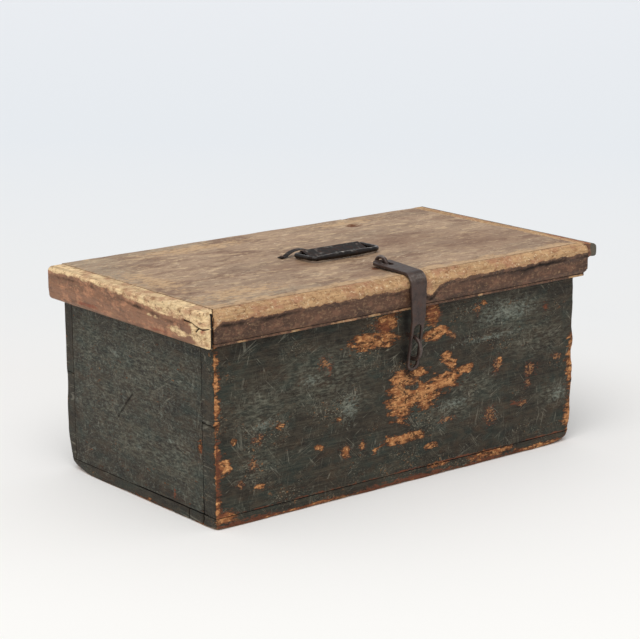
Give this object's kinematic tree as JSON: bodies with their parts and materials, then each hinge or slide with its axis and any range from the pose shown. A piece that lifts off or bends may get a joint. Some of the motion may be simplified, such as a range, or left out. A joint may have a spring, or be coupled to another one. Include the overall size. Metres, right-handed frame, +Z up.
{
  "type": "carpenters tool chest",
  "caption": "Small nailed wooden tool chest with a hinged moulded lid, an iron bail handle lying on the lid and an iron hasp over a staple.",
  "frame": {"origin": "middle of the box's underside, without hinges or hasp", "axes": "+X along the chest, -Y towards the hasp side, +Z up"},
  "size_m": [0.5426, 0.3093, 0.2425],
  "materials": {
    "painted_pine": "pine boards under old dark grey-green paint, rubbed through to ochre wood at edges and in patches",
    "worn_pine_lid": "bare weathered pine with grey dirt and remains of paint",
    "worn_moulding": "pine moulding, red-brown stained below and rubbed bare along the top edge",
    "wrought_iron": "hand-forged wrought iron with a brown rust patina",
    "blackened_iron": "forged iron, black and rubbed shiny by hands",
    "nail_iron": "rusted square nails"
  },
  "bodies": {
    "carcase": {"front_board": "painted_pine", "back_board": "painted_pine", "left_end_board": "painted_pine", "right_end_board": "painted_pine", "bottom_board_front": "painted_pine", "bottom_board_back": "painted_pine", "hasp_front_staple": "wrought_iron", "hinge_leaf_left": "wrought_iron", "hinge_leaf_right": "wrought_iron", "hinge_pin_left": "wrought_iron", "hinge_pin_right": "wrought_iron", "corner_nails": "nail_iron", "bottom_nails": "nail_iron", "hinge_leaf_nails": "nail_iron"},
    "lid": {"lid_board": "worn_pine_lid", "lid_front_moulding": "worn_moulding", "lid_left_moulding": "worn_moulding", "lid_right_moulding": "worn_moulding", "moulding_nails": "nail_iron", "hasp_lid_staple": "wrought_iron", "handle_plate": "blackened_iron", "handle_nails": "nail_iron", "hinge_strap_left": "wrought_iron", "hinge_strap_right": "wrought_iron", "hinge_strap_nails": "nail_iron"},
    "hasp": {"hasp_strap": "wrought_iron"},
    "bail": {"handle_bail": "blackened_iron"}
  },
  "joints": [
    {"name": "lid_hinge", "type": "hinge", "parent": "carcase", "child": "lid", "pos_m": [0, 0.1438, 0.209], "axis": [-1, 0, 0], "range_deg": [0, 105]},
    {"name": "hasp_hinge", "type": "hinge", "parent": "lid", "child": "hasp", "pos_m": [0.003, -0.0925, 0.23445], "axis": [-1, 0, 0], "range_deg": [0, 160]},
    {"name": "bail_hinge", "type": "hinge", "parent": "lid", "child": "bail", "pos_m": [0.0029, -0.004, 0.2337], "axis": [-1, 0, 0], "range_deg": [0, 110]}
  ]
}
